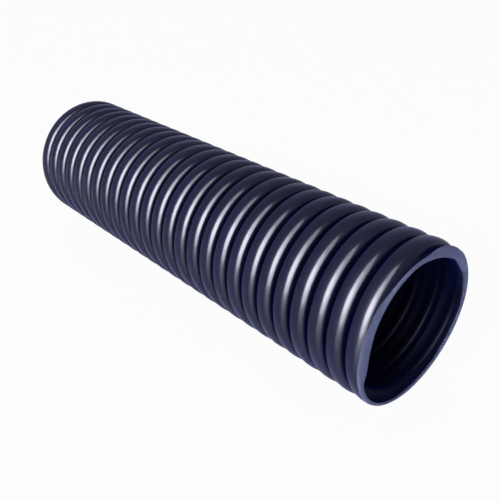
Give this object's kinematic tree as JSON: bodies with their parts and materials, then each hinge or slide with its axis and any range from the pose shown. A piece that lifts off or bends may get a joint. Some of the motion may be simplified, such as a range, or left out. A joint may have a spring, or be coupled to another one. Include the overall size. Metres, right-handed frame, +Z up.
{
  "type": "corrugated flexible conduit",
  "caption": "Cut length of black single-wall flexible conduit with a helical corrugation, open through its bore, for running and protecting cables.",
  "frame": {"origin": "on the plane that the tube lies on, below the middle of its length", "axes": "+X along the tube's axis towards the end nearest the viewer in the picture, +Z up, +Y across the tube"},
  "size_m": [0.384, 0.11, 0.11],
  "materials": {
    "black_polyethylene": "blue-black moulded polyethylene, soft gloss on the crests and a paler sawn edge at the cut ends"
  },
  "bodies": {
    "root": {"conduit_tube": "black_polyethylene"}
  },
  "joints": []
}
